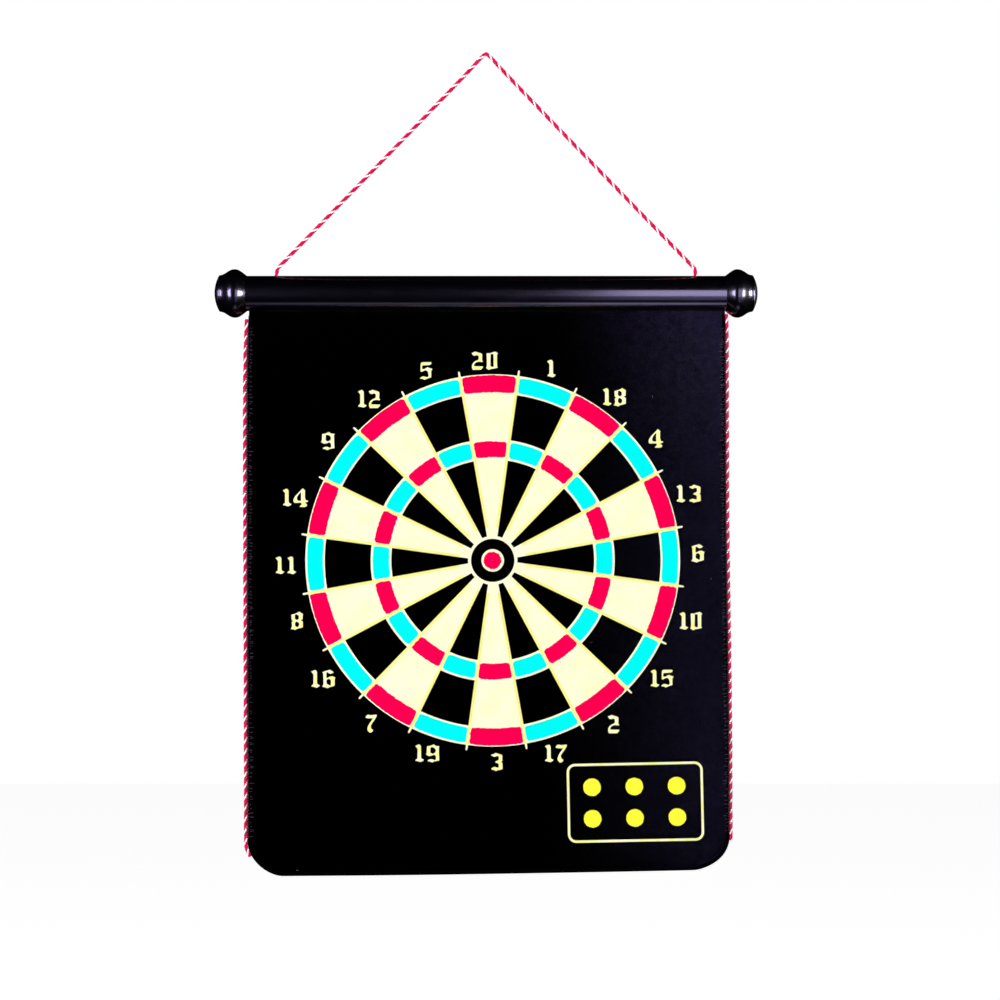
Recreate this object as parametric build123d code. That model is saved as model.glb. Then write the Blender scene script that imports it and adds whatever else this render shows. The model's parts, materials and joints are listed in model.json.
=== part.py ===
from build123d import *
from math import cos, pi, radians, sin, sqrt, tan
import os

# A magnetic dartboard that rolls up: a felt-covered magnetic sheet hanging from a plastic rod,
# with a cord to hang it up by. Millimetres. X runs along the rod, +Z is up, and the target side
# of the sheet faces -Y. The origin is the underside of the cord at its apex, where a hook carries it.

# Hanging cord
CORD_DIAMETER = 3.0
HOOK_DIAMETER = 4.0
ROD_DROP = 182.7            # from the hook down to the rod's centre line
HOLE_SPACING = 322.0        # between the two cord holes in the top of the rod
EXIT_STUB = 3.0             # how far the cord rises straight out of a hole
PIVOT_LIFT = 2.0            # the cord bends this far above the rod, clear of its wall
KNOT_RADIUS = 4.0
KNOT_SEAT_GAP = 0.1         # between a knot and the rod's bore
KNOT_TAIL = 5.0             # how far the cord's end shows under a knot

# Rod
ROD_LENGTH = 368.0
ROD_DIAMETER = 27.0
ROD_WALL = 1.5
SLOT_WIDTH = 3.4
CORD_HOLE_DIAMETER = 4.0

# End caps
CAP_LENGTH = 24.65
CAP_COLLAR_RADIUS = 13.6    # where the cap meets the rod
CAP_CREST_RADIUS = 18.6
CAP_CREST_AT = 9.0          # distance of the widest point from the rod's end
CAP_INNER_FLANK = (4.5, 17.0)  # a point of the curve up to the crest: how far out, and its radius
CAP_OUTER_FLANK = (14.4, 16.8)
CAP_NECK_RADIUS = 14.0
CAP_NECK_AT = 19.0
CAP_NECK_FLARE = 0.3        # how much wider the outer flank ends than the rim is
CAP_RIM_ROUND = 1.2
DOME_RADIUS = 28.0          # of the cap's outer end
CAP_BORE_RADIUS = 9.5
CAP_BORE_DEPTH = 12.0       # how far the moulding's core reaches into the head
SPIGOT_LENGTH = 12.0
SPIGOT_CLEARANCE = 0.05

# Sheet, from front to back: printed felt, magnetic core, felt
SHEET_WIDTH = 368.0         # over the bound edges
SHEET_HEIGHT = 432.9        # from the underside of the rod to the bottom edge
CORE_THICKNESS = 1.2
FELT_THICKNESS = 0.5
CORNER_RADIUS = 26.5
SWING_LINE_DROP = 1.6       # the sheet bends about a line this far under the rod
CORE_TOP_RISE = 0.9         # the core's top edge is this far above that line

# Hem that holds the sheet in the rod
BEAD_DIAMETER = 6.0
HEM_THICKNESS = 1.1
HEM_SEAT_GAP = 0.1          # between the hem's loop and the rod's bore
HEM_END_GAP = 1.0           # between the hem's end and an end cap's spigot

# Edge trim
BINDING_THICKNESS = 0.4
BINDING_WIDTH = 3.0
BINDING_EDGE_GAP = 0.05     # between the binding's inner edge and the felt's full thickness
BINDING_TOP_GAP = 2.0       # the binding starts this far under the swing line
CRUSHED_FELT_THICKNESS = 0.3  # where the binding presses the felt down
TRIM_DIAMETER = 3.2
TRIM_TOP_GAP = 7.0          # the trim starts this far under the swing line, clear of the end caps
LEFT_TRIM_TURN = 31.0       # degrees of the bottom corner that each trim cord follows
RIGHT_TRIM_TURN = 18.0
STITCH_PITCH = 5.0
STITCH_LENGTH = 3.0
STITCH_WIDTH = 0.8
STITCH_HEIGHT = 0.3

GAP = 0.3                   # between pieces that move past each other
EPSILON = 1.0               # how far a cutting tool runs past what it cuts

CORD_RADIUS = CORD_DIAMETER / 2
ROD_RADIUS = ROD_DIAMETER / 2
BORE_RADIUS = ROD_RADIUS - ROD_WALL
ROD_Z = -ROD_DROP
ROD_TOP = ROD_Z + ROD_RADIUS
ROD_BOTTOM = ROD_Z - ROD_RADIUS
TILT_LINE_Z = ROD_TOP + PIVOT_LIFT
SWING_LINE_Z = ROD_BOTTOM - SWING_LINE_DROP
SHEET_BOTTOM = ROD_BOTTOM - SHEET_HEIGHT
LAMINATE_THICKNESS = CORE_THICKNESS + 2 * FELT_THICKNESS
CRUSHED_FACE = CORE_THICKNESS / 2 + CRUSHED_FELT_THICKNESS
BINDING_FACE = CRUSHED_FACE + BINDING_THICKNESS
LAMINATE_WIDTH = SHEET_WIDTH - 2 * BINDING_THICKNESS
LAMINATE_BOTTOM = SHEET_BOTTOM + BINDING_THICKNESS
HEM_LENGTH = ROD_LENGTH - 2 * (SPIGOT_LENGTH + HEM_END_GAP)
BEAD_Z = ROD_Z - (BORE_RADIUS - BEAD_DIAMETER / 2 - HEM_THICKNESS - HEM_SEAT_GAP)
TRIM_X = SHEET_WIDTH / 2 + TRIM_DIAMETER / 2


def bar_along_x(radius, length, z):
    """A round bar along X, centred on X = 0."""
    return Pos(0, 0, z) * Rot(0, 90, 0) * Cylinder(radius, length)


def box_between(low, high):
    """A box from its lowest corner to its highest."""
    size = [h - l for l, h in zip(low, high)]
    centre = [(h + l) / 2 for l, h in zip(low, high)]
    return Pos(*centre) * Box(*size)


def cord_route():
    """Route of the hanging cord: out of the left hole, up to the hook, down to the right hole."""
    hook_arc = HOOK_DIAMETER / 2 + CORD_RADIUS
    hole_x = HOLE_SPACING / 2
    stub_z = TILT_LINE_Z + EXIT_STUB
    leg_turn = Vector(hole_x, 0, CORD_RADIUS - stub_z).get_angle(Vector(1, 0, 0))
    hook_x = hook_arc * tan(radians(leg_turn / 2))
    return [
        (-hole_x, 0, TILT_LINE_Z),
        (-hole_x, 0, stub_z),
        (-hook_x, 0, CORD_RADIUS),
        (hook_x, 0, CORD_RADIUS),
        (hole_x, 0, stub_z),
        (hole_x, 0, TILT_LINE_Z),
    ]


def arc_radii(points):
    """The largest arc that the two runs beside each corner leave room for."""
    radii = []
    for before, corner, after in zip(points, points[1:], points[2:]):
        run_in = Vector(corner) - Vector(before)
        run_out = Vector(after) - Vector(corner)
        half_turn = radians(run_in.get_angle(run_out) / 2)
        radii.append(0.45 * min(run_in.length, run_out.length) / tan(half_turn))
    return radii


def make_hanging_cord():
    """The cord outside the rod, with a round end at each hole so that the rod can tilt under it."""
    points = cord_route()
    radii = arc_radii(points)
    path = FilletPolyline(*points, radius=radii)
    print("hanging cord: length", round(path.length, 1), "radii", [round(r, 2) for r in radii])
    tube = sweep(Plane(origin=path @ 0, z_dir=path % 0) * Circle(CORD_RADIUS), path=path)
    print("hanging cord: volume", round(tube.volume, 1),
          "section x length", round(pi * CORD_RADIUS ** 2 * path.length, 1))
    for end in (points[0], points[-1]):
        tube += Pos(*end) * Sphere(CORD_RADIUS)
    return tube


def make_cord_knot(side):
    """One end of the cord inside the rod: up through the hole, with a knot under it."""
    knot_z = ROD_Z + BORE_RADIUS - KNOT_RADIUS - KNOT_SEAT_GAP
    tail_top = TILT_LINE_Z - CORD_RADIUS - GAP
    tail_bottom = knot_z - KNOT_RADIUS - KNOT_TAIL
    x = side * HOLE_SPACING / 2
    tail = Pos(x, 0, (tail_top + tail_bottom) / 2) * Cylinder(CORD_RADIUS, tail_top - tail_bottom)
    return tail + Pos(x, 0, knot_z) * Sphere(KNOT_RADIUS)


def make_rod_tube():
    """The slotted tube, with a hole for each end of the cord."""
    tube = bar_along_x(ROD_RADIUS, ROD_LENGTH, ROD_Z)
    tube -= bar_along_x(BORE_RADIUS, ROD_LENGTH + 2 * EPSILON, ROD_Z)
    tube -= box_between(
        (-ROD_LENGTH, -SLOT_WIDTH / 2, ROD_BOTTOM - EPSILON),
        (ROD_LENGTH, SLOT_WIDTH / 2, ROD_Z),
    )
    for side in (-1, 1):
        hole = Cylinder(CORD_HOLE_DIAMETER / 2, 2 * ROD_WALL + 2 * EPSILON)
        tube -= Pos(side * HOLE_SPACING / 2, 0, ROD_TOP) * hole
    return tube


def cap_outline():
    """Half section of an end cap, from the spigot's end to the tip of the dome, X along the rod."""
    spigot_radius = BORE_RADIUS - SPIGOT_CLEARANCE

    def on_dome(radius):
        return (CAP_LENGTH - DOME_RADIUS + sqrt(DOME_RADIUS ** 2 - radius ** 2), radius)

    collar = (0, CAP_COLLAR_RADIUS)
    crest = (CAP_CREST_AT, CAP_CREST_RADIUS)
    neck = (CAP_NECK_AT, CAP_NECK_RADIUS + CAP_NECK_FLARE)
    rim = on_dome(CAP_NECK_RADIUS)
    outline = make_face([
        Line((-SPIGOT_LENGTH, 0), (-SPIGOT_LENGTH, spigot_radius)),
        Line((-SPIGOT_LENGTH, spigot_radius), (0, spigot_radius)),
        Line((0, spigot_radius), collar),
        Spline(collar, CAP_INNER_FLANK, crest, tangents=[(1, 0.85), (1, 0)]),
        Spline(crest, CAP_OUTER_FLANK, neck, tangents=[(1, 0), (1, -0.3)]),
        Line(neck, rim),
        ThreePointArc(rim, on_dome(CAP_NECK_RADIUS / 2), on_dome(0)),
        Line(on_dome(0), (-SPIGOT_LENGTH, 0)),
    ])
    return fillet(outline.vertices().sort_by_distance(Vector(*rim))[0], CAP_RIM_ROUND)


def make_end_cap(side):
    """A turned-looking finial, moulded hollow, with a spigot that pushes into the rod."""
    cap = revolve(cap_outline(), axis=Axis.X)
    bore = Rot(0, 90, 0) * Cylinder(CAP_BORE_RADIUS, SPIGOT_LENGTH + CAP_BORE_DEPTH)
    cap -= Pos((CAP_BORE_DEPTH - SPIGOT_LENGTH) / 2, 0, 0) * bore
    placed = Pos(ROD_LENGTH / 2, 0, ROD_Z) * cap
    return placed if side > 0 else mirror(placed, about=Plane.YZ)


def make_retaining_bead():
    """The round bead that the hem is folded over, too thick to pull out through the slot."""
    return bar_along_x(BEAD_DIAMETER / 2, HEM_LENGTH, BEAD_Z)


def make_sheet_hem():
    """The top of the sheet, folded round the bead and led out through the slot."""
    loop = bar_along_x(BEAD_DIAMETER / 2 + HEM_THICKNESS, HEM_LENGTH, BEAD_Z)
    neck = box_between(
        (-HEM_LENGTH / 2, -LAMINATE_THICKNESS / 2, SWING_LINE_Z + LAMINATE_THICKNESS / 2 + GAP),
        (HEM_LENGTH / 2, LAMINATE_THICKNESS / 2, BEAD_Z),
    )
    return loop + neck - bar_along_x(BEAD_DIAMETER / 2, HEM_LENGTH + 2 * EPSILON, BEAD_Z)


def sheet_plate(width, bottom, top, front, back, radius):
    """A plate in the plane of the sheet, with its two bottom corners rounded."""
    height = top - bottom
    outline = Rectangle(width, height)
    outline = fillet(outline.vertices().group_by(Axis.Y)[0], radius)
    plate = extrude(Plane.XZ * outline, back - front, dir=(0, 1, 0))
    return Pos(0, front, (top + bottom) / 2) * plate


def laminate_layer(front, back, top):
    """One layer of the sheet inside its bound edges."""
    radius = CORNER_RADIUS - BINDING_THICKNESS
    return sheet_plate(LAMINATE_WIDTH, LAMINATE_BOTTOM, top, front, back, radius)


def inside_binding(front, back, top, gap):
    """A plate that fills the sheet inside the binding, this far clear of its inner edge."""
    inset = BINDING_WIDTH + gap
    return sheet_plate(
        SHEET_WIDTH - 2 * inset, SHEET_BOTTOM + inset, top, front, back, CORNER_RADIUS - inset,
    )


def make_magnetic_core():
    """The flexible magnetic layer. Its top edge reaches above the swing line, inside the round
    that the two felts leave room for."""
    return laminate_layer(-CORE_THICKNESS / 2, CORE_THICKNESS / 2, SWING_LINE_Z + CORE_TOP_RISE)


def make_front_felt():
    """The printed felt on the target side, thinner under the binding."""
    back = -CORE_THICKNESS / 2
    rim = laminate_layer(back - CRUSHED_FELT_THICKNESS, back, SWING_LINE_Z)
    return rim + inside_binding(back - FELT_THICKNESS, back, SWING_LINE_Z, BINDING_EDGE_GAP)


def make_back_felt():
    """The plain felt on the wall side."""
    return mirror(make_front_felt(), about=Plane.XZ)


def make_edge_binding():
    """The black tape folded over the two sides and the bottom edge."""
    top = SWING_LINE_Z - BINDING_TOP_GAP
    tape = sheet_plate(SHEET_WIDTH, SHEET_BOTTOM, top, -BINDING_FACE, BINDING_FACE, CORNER_RADIUS)
    tape -= laminate_layer(-CRUSHED_FACE, CRUSHED_FACE, top + EPSILON)
    cut = BINDING_FACE + EPSILON
    return tape - inside_binding(-cut, cut, top + EPSILON, 0)


def make_trim_cord(side, corner_turn):
    """The twisted cord sewn along one side, from the rod into the bottom corner."""
    top = (side * TRIM_X, 0, SWING_LINE_Z - TRIM_TOP_GAP)
    corner_x = SHEET_WIDTH / 2 - CORNER_RADIUS
    corner_z = SHEET_BOTTOM + CORNER_RADIUS
    arc_radius = CORNER_RADIUS + TRIM_DIAMETER / 2

    def on_corner(turn):
        angle = radians(turn)
        return (side * (corner_x + arc_radius * cos(angle)), 0, corner_z - arc_radius * sin(angle))

    straight = Line(top, on_corner(0))
    arc = ThreePointArc(on_corner(0), on_corner(corner_turn / 2), on_corner(corner_turn))
    path = Wire([straight.edge(), arc.edge()])
    print("trim cord: length", round(path.length, 1))
    section = Plane(origin=top, z_dir=(0, 0, -1)) * Circle(TRIM_DIAMETER / 2)
    return sweep(section, path=path)


def make_trim_stitches(side):
    """The stitches on the face of the binding that hold one trim cord to it."""
    top = SWING_LINE_Z - TRIM_TOP_GAP - STITCH_PITCH
    count = int((top - SHEET_BOTTOM - CORNER_RADIUS) / STITCH_PITCH) + 1
    x = side * (SHEET_WIDTH / 2 - STITCH_LENGTH / 2)
    stitches = []
    for index in range(count):
        z = top - index * STITCH_PITCH
        stitches.append(box_between(
            (x - STITCH_LENGTH / 2, -BINDING_FACE - STITCH_HEIGHT, z - STITCH_WIDTH / 2),
            (x + STITCH_LENGTH / 2, -BINDING_FACE, z + STITCH_WIDTH / 2),
        ))
    return Compound(stitches)


def make_nodes():
    """Every sub-part, by the name of its node."""
    nodes = {
        "hanging_cord": make_hanging_cord(),
        "rod_tube": make_rod_tube(),
        "retaining_bead": make_retaining_bead(),
        "sheet_hem": make_sheet_hem(),
        "magnetic_core": make_magnetic_core(),
        "front_felt": make_front_felt(),
        "back_felt": make_back_felt(),
        "edge_binding": make_edge_binding(),
    }
    for name, side, turn in (("left", -1, LEFT_TRIM_TURN), ("right", 1, RIGHT_TRIM_TURN)):
        nodes[name + "_cord_knot"] = make_cord_knot(side)
        nodes[name + "_end_cap"] = make_end_cap(side)
        nodes[name + "_trim_cord"] = make_trim_cord(side, turn)
        nodes[name + "_trim_stitches"] = make_trim_stitches(side)
    return nodes


os.makedirs("parts", exist_ok=True)
for node, shape in make_nodes().items():
    export_step(shape, f"parts/{node}.step")
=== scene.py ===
import json
import random
from math import asin, atan2, ceil, cos, exp, hypot, pi, radians, sin

import bpy
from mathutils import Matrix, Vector, noise
from mathutils.geometry import delaunay_2d_cdt


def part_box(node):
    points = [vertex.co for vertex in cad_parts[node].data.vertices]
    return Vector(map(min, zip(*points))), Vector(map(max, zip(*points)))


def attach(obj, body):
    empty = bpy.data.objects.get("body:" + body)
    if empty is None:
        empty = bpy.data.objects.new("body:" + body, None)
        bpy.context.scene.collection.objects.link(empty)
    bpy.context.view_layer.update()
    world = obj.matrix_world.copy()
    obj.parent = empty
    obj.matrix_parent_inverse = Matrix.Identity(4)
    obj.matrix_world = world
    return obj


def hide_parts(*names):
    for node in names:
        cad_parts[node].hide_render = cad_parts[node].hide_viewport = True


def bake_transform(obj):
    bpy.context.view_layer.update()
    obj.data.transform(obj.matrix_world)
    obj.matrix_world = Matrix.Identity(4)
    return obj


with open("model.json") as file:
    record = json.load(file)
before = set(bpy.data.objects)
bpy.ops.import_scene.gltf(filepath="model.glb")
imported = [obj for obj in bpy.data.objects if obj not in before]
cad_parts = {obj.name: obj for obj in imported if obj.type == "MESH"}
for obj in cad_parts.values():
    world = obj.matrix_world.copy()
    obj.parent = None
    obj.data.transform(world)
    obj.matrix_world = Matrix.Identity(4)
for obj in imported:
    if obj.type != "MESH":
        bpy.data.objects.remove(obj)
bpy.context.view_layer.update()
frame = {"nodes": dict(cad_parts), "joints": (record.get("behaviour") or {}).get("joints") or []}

# The looks of a roll-up magnetic dartboard, built around its CAD model. Metres, in the CAD frame:
# X along the rod, +Z up, the printed side faces -Y, the origin is the hook under the cord's apex.

MM = 0.001

# Places read from the frame
ROD_LOW, ROD_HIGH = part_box("rod_tube")
ROD_RADIUS = (ROD_HIGH.y - ROD_LOW.y) / 2
ROD_TOP = ROD_HIGH.z
ROD_BOTTOM = ROD_TOP - 2 * ROD_RADIUS
BOUND_LOW, BOUND_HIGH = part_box("edge_binding")
SHEET_SIDE = BOUND_HIGH.x
SHEET_BOTTOM = BOUND_LOW.z
BINDING_DEPTH = BOUND_HIGH.y
FELT_LOW, FELT_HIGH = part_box("front_felt")
FELT_SIDE = FELT_HIGH.x
FELT_BOTTOM = FELT_LOW.z
FELT_FRONT = -FELT_LOW.y
CORE_FRONT = -FELT_HIGH.y
JOINTS = {joint["name"]: joint for joint in frame["joints"]}
SWING_Z = JOINTS["sheet_swing"]["pos_m"][2]

# The hung sheet. A share is of the way from the rod, 0, to the bottom edge, 1.
CORNER_RADIUS = 27 * MM
CORNER_POWER = {-1: 1.83, 1: 2.0}   # 2 is a true arc; less cuts the left corner flatter
SIDE_DRIFT = 1.3 * MM               # how far right of the rod's middle the bottom edge hangs
BOTTOM_SLOPE = 0.0142               # the bottom edge rises to the right
BOTTOM_BOW = 0.7 * MM               # and this much more at BOW_REACH each way from its middle
BOW_REACH = 0.143
DRAWN_IN = 2.2 * MM                 # how far the left edge is drawn in where it meets the rod
LEFT_STRAY = 0.7 * MM               # how far out each edge lies below that
RIGHT_STRAY = 0.45 * MM
RIGHT_SPREAD = 1.75 * MM            # and how much further the right one spreads lower down
DRAWN_IN_FADE = 0.06                # share over which the left edge comes back out
CLEAR_OF_CAP = 0.03                 # share down to which the right edge keeps in from its end cap
SPREAD_BETWEEN = (0.3, 0.8)         # shares between which the right edge spreads
STRAY_FROM = 166 * MM               # from here out the sheet follows its edges' strays
SHEET_TOP = ROD_BOTTOM - 0.1 * MM

# The print
DIAL_CENTRE = (5.1 * MM, -387.9 * MM)
DIAL_TURN = radians(1.14)           # the print sits a little anticlockwise on the sheet
DIAL_STRETCH = (0.998, 0.9917)      # and is not quite as wide or as high as its radii say
SECTOR = 2 * pi / 20
BULL_RADIUS = 6.7 * MM
BULL_DISC_RADIUS = 8.7 * MM
OUTER_BULL = (16.7 * MM, 19.0 * MM)
TREBLE = (78.1 * MM, 94.0 * MM)
DOUBLE = (129.3 * MM, 144.3 * MM)
TICK_END = 148.6 * MM
LINE_WIDTH = 2.1 * MM
TICK_WIDTH = 1.4 * MM
INK_BASE = FELT_FRONT + 0.02 * MM   # depths in front of the middle of the sheet
CREAM_DEPTH = FELT_FRONT + 0.12 * MM
LINE_DEPTH = FELT_FRONT + 0.16 * MM
COLOUR_DEPTH = FELT_FRONT + 0.20 * MM


# ---------------------------------------------------------------- camera and hanging cord

def add_camera():
    """Level and square to the board, a little right of the rod's middle and below it."""
    camera = bpy.data.objects.new("camera", bpy.data.cameras.new("camera"))
    distance = 1.8
    view_width = 0.769
    camera.data.sensor_width = 36
    camera.data.lens = 36 * distance / view_width
    camera.location = (10.7 * MM, -distance, -341.5 * MM)
    camera.rotation_euler = (pi / 2, 0, 0)
    bpy.context.scene.collection.objects.link(camera)
    bpy.context.scene.camera = camera


add_camera()

CORD_DIAMETER = 3.0 * MM
CORD_LAY = 9.7 * MM
HALF_ROUTE = [                       # from the left hole up to the hook; the right half mirrors it
    (-161.0, -169.5),
    (-161.0, -164.2),
    (-158.9, -162.0),
    (-14.2, -13.2),
    (-1.48, 1.5),
]


def nurbs_line(points):
    """Points along the smooth line of a cord whose route has these points."""
    curve = bpy.data.curves.new("route", "CURVE")
    curve.dimensions = "3D"
    curve.resolution_u = 48
    spline = curve.splines.new("NURBS")
    spline.points.add(len(points) - 1)
    for point, place in zip(spline.points, points):
        point.co = (*place, 1)
    spline.order_u = 3
    spline.use_endpoint_u = True
    route = bpy.data.objects.new("route", curve)
    bpy.context.scene.collection.objects.link(route)
    mesh = bpy.data.meshes.new_from_object(route)
    line = [v.co.copy() for v in mesh.vertices]
    bpy.data.objects.remove(route)
    bpy.data.curves.remove(curve)
    bpy.data.meshes.remove(mesh)
    return line


def spaced(line, step):
    """The same line as points about one step apart."""
    lengths = [0.0]
    for a, b in zip(line, line[1:]):
        lengths.append(lengths[-1] + (b - a).length)
    count = max(2, ceil(lengths[-1] / step))
    points = []
    index = 0
    for i in range(count + 1):
        s = lengths[-1] * i / count
        while index < len(line) - 2 and lengths[index + 1] < s:
            index += 1
        span = lengths[index + 1] - lengths[index]
        points.append(line[index].lerp(line[index + 1], (s - lengths[index]) / span if span else 0))
    return points


def new_piece(name, vertices, faces, material, smooth=True):
    """A mesh object, not yet riding on anything."""
    mesh = bpy.data.meshes.new(name)
    mesh.from_pydata(vertices, [], faces)
    mesh.materials.append(material)
    mesh.polygons.foreach_set("use_smooth", [smooth] * len(mesh.polygons))
    mesh.update()
    piece = bpy.data.objects.new(name, mesh)
    bpy.context.scene.collection.objects.link(piece)
    return piece


def ring_of(centres, i, across, radius, sides):
    """Vertices round the i-th of a tube's centres."""
    ahead = (centres[min(i + 1, len(centres) - 1)] - centres[max(i - 1, 0)]).normalized()
    side = across.cross(ahead).normalized()
    up = ahead.cross(side)
    angles = [2 * pi * k / sides for k in range(sides)]
    return [centres[i] + radius * (cos(angle) * side + sin(angle) * up) for angle in angles]


def tube_faces(base, rings, sides):
    """Faces of a closed tube: between its rings of vertices, then over its start and its end."""
    faces = []
    for i in range(rings - 1):
        for k in range(sides):
            a, b = base + i * sides + k, base + i * sides + (k + 1) % sides
            faces.append((a, b, b + sides, a + sides))
    last = base + (rings - 1) * sides
    faces.append(tuple(base + k for k in range(sides))[::-1])
    faces.append(tuple(last + k for k in range(sides)))
    return faces


def in_several_materials(piece, materials, slots):
    """Give each face of a piece the material that its slot counts to."""
    for material in materials[1:]:
        piece.data.materials.append(material)
    piece.data.polygons.foreach_set("material_index", slots)


def twisted_cord(name, line, diameter, lay, materials, across=Vector((0, 1, 0)), start_turn=0.0):
    """Laid strands round a line, one for each material, right-handed, narrower at their ends. UV
    holds the way round and the way along each strand."""
    count = len(materials)
    strand = diameter / 2 / (1 + 1 / sin(pi / count))
    offset = strand / sin(pi / count)
    sides = 10
    step = spaced(line, strand * 0.9)
    vertices, faces, uvs, slots = [], [], [], []
    for which in range(count):
        run = 0.0
        centres = []
        for i, point in enumerate(step):
            ahead = (step[min(i + 1, len(step) - 1)] - step[max(i - 1, 0)]).normalized()
            side = across.cross(ahead).normalized()
            if i:
                run += (point - step[i - 1]).length
            turn = start_turn + 2 * pi * (run / lay + which / count)
            centres.append(point + offset * (cos(turn) * side + sin(turn) * ahead.cross(side)))
        strand_faces = tube_faces(len(vertices), len(centres), sides)
        along = [0.0]
        for before, here in zip(centres, centres[1:]):
            along.append(along[-1] + (here - before).length / (2 * pi * strand))
        for i in range(len(centres)):
            at_end = i in (0, len(centres) - 1)
            vertices += ring_of(centres, i, across, strand * (0.72 if at_end else 1.0), sides)
        for v0, v1 in zip(along, along[1:]):
            for k in range(sides):
                u0, u1 = k / sides, (k + 1) / sides
                uvs += [(u0, v0), (u1, v0), (u1, v1), (u0, v1)]
        uvs += [(0.5, along[0])] * sides + [(0.5, along[-1])] * sides
        faces += strand_faces
        slots += [which] * len(strand_faces)
    piece = new_piece(name, vertices, faces, materials[0])
    in_several_materials(piece, materials, slots)
    layer = piece.data.uv_layers.new(name="strand")
    layer.data.foreach_set("uv", [c for uv in uvs for c in uv])
    return piece


# ---------------------------------------------------------------- materials

def new_material(name, **sockets):
    """A material with a Principled shader whose own sockets hold these uniform values."""
    material = bpy.data.materials.new(name)
    material.use_nodes = True
    shader = material.node_tree.nodes["Principled BSDF"]
    for socket, value in sockets.items():
        shader.inputs[socket.replace("_", " ")].default_value = value
    return material, material.node_tree, shader


def add_node(tree, kind, **settings):
    """A node of this kind; settings are its properties, and its sockets by name."""
    node = tree.nodes.new(kind)
    for key, value in settings.items():
        if hasattr(node, key):
            setattr(node, key, value)
        else:
            node.inputs[key.replace("_", " ")].default_value = value
    return node


def noise_of(tree, scale, detail=3.0, roughness=0.6, stretch=None, uv=False):
    """A noise texture in the object's own place, or along its UV, scale in features per metre."""
    place = add_node(tree, "ShaderNodeTexCoord")
    texture = add_node(tree, "ShaderNodeTexNoise", Scale=scale, Detail=detail, Roughness=roughness)
    source = place.outputs["UV" if uv else "Object"]
    if stretch:
        mapping = add_node(tree, "ShaderNodeMapping", Scale=stretch)
        tree.links.new(source, mapping.inputs["Vector"])
        source = mapping.outputs["Vector"]
    tree.links.new(source, texture.inputs["Vector"])
    return texture


def ramp_of(tree, source, stops):
    """A colour ramp fed by a node's first output; stops are (place, colour)."""
    ramp = add_node(tree, "ShaderNodeValToRGB")
    while len(ramp.color_ramp.elements) < len(stops):
        ramp.color_ramp.elements.new(0.5)
    for element, (place, colour) in zip(ramp.color_ramp.elements, stops):
        element.position = place
        element.color = (*colour, 1)
    tree.links.new(source, ramp.inputs["Fac"])
    return ramp


def multiplied(tree, first, second):
    """The product of two nodes' colours."""
    mix = add_node(tree, "ShaderNodeMix", data_type="RGBA", blend_type="MULTIPLY")
    mix.inputs["Factor"].default_value = 1.0
    tree.links.new(first.outputs["Color"], mix.inputs["A"])
    tree.links.new(second.outputs["Color"], mix.inputs["B"])
    return mix.outputs["Result"]


def add_bump(tree, shader, heights):
    """Bumps stacked on one another; heights are (texture output, height in metres, strength)."""
    below = None
    for source, distance, strength in heights:
        bump = add_node(tree, "ShaderNodeBump", Strength=strength, Distance=distance)
        tree.links.new(source, bump.inputs["Height"])
        if below:
            tree.links.new(below.outputs["Normal"], bump.inputs["Normal"])
        below = bump
    tree.links.new(below.outputs["Normal"], shader.inputs["Normal"])


def grey(value):
    return (value, value, value)


def plastic_material(name, roughness, wear, colour, shine, coat):
    """Black plastic with faint handling marks and a very fine moulded texture."""
    material, tree, shader = new_material(
        name, IOR=1.5, Specular_IOR_Level=shine, Coat_Weight=coat, Coat_Roughness=0.09,
        Coat_IOR=1.5)
    tint = noise_of(tree, 60, 2)
    colours = ramp_of(tree, tint.outputs["Fac"], [
        (0.3, colour), (0.75, tuple(1.5 * c for c in colour))])
    tree.links.new(colours.outputs["Color"], shader.inputs["Base Color"])
    marks = noise_of(tree, 220, 6, 0.7, stretch=(0.25, 1, 1))
    finish = ramp_of(tree, marks.outputs["Fac"], [
        (0.35, grey(roughness)), (0.8, grey(roughness + wear))])
    tree.links.new(finish.outputs["Color"], shader.inputs["Roughness"])
    grain = noise_of(tree, 2600, 2)
    add_bump(tree, shader, [(grain.outputs["Fac"], 0.02 * MM, 0.15)])
    return material


def felt_material(name, deep, raised):
    """Short black nap without any gloss: this dark deep in it, and where it is raised."""
    material, tree, shader = new_material(name, Roughness=0.95, Specular_IOR_Level=0.0)
    patches = noise_of(tree, 170, 5, 0.75)
    fibres = noise_of(tree, 1500, 3, 0.7)
    worn = ramp_of(tree, patches.outputs["Fac"], [(0.34, grey(0.45)), (0.66, grey(1.0))])
    nap = ramp_of(tree, fibres.outputs["Fac"], [(0.35, deep), (0.70, raised)])
    tree.links.new(multiplied(tree, worn, nap), shader.inputs["Base Color"])
    add_bump(tree, shader, [
        (patches.outputs["Fac"], 0.5 * MM, 0.15), (fibres.outputs["Fac"], 0.2 * MM, 0.5)])
    return material


def ink_material(name, colour, faded, blotch=0.5, patchiness=55):
    """Ink printed on the felt: the nap still shows in it, and the colour is a little uneven."""
    material, tree, shader = new_material(name, Roughness=0.85, Specular_IOR_Level=0.0)
    patches = noise_of(tree, patchiness, 4, 0.6)
    fibres = noise_of(tree, 1300, 3, 0.65)
    colours = ramp_of(tree, patches.outputs["Fac"], [(0.42, colour), (0.42 + blotch, faded)])
    weave = ramp_of(tree, fibres.outputs["Fac"], [(0.2, grey(0.90)), (0.5, grey(1.0))])
    tree.links.new(multiplied(tree, colours, weave), shader.inputs["Base Color"])
    add_bump(tree, shader, [(fibres.outputs["Fac"], 0.12 * MM, 0.35)])
    return material


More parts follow.
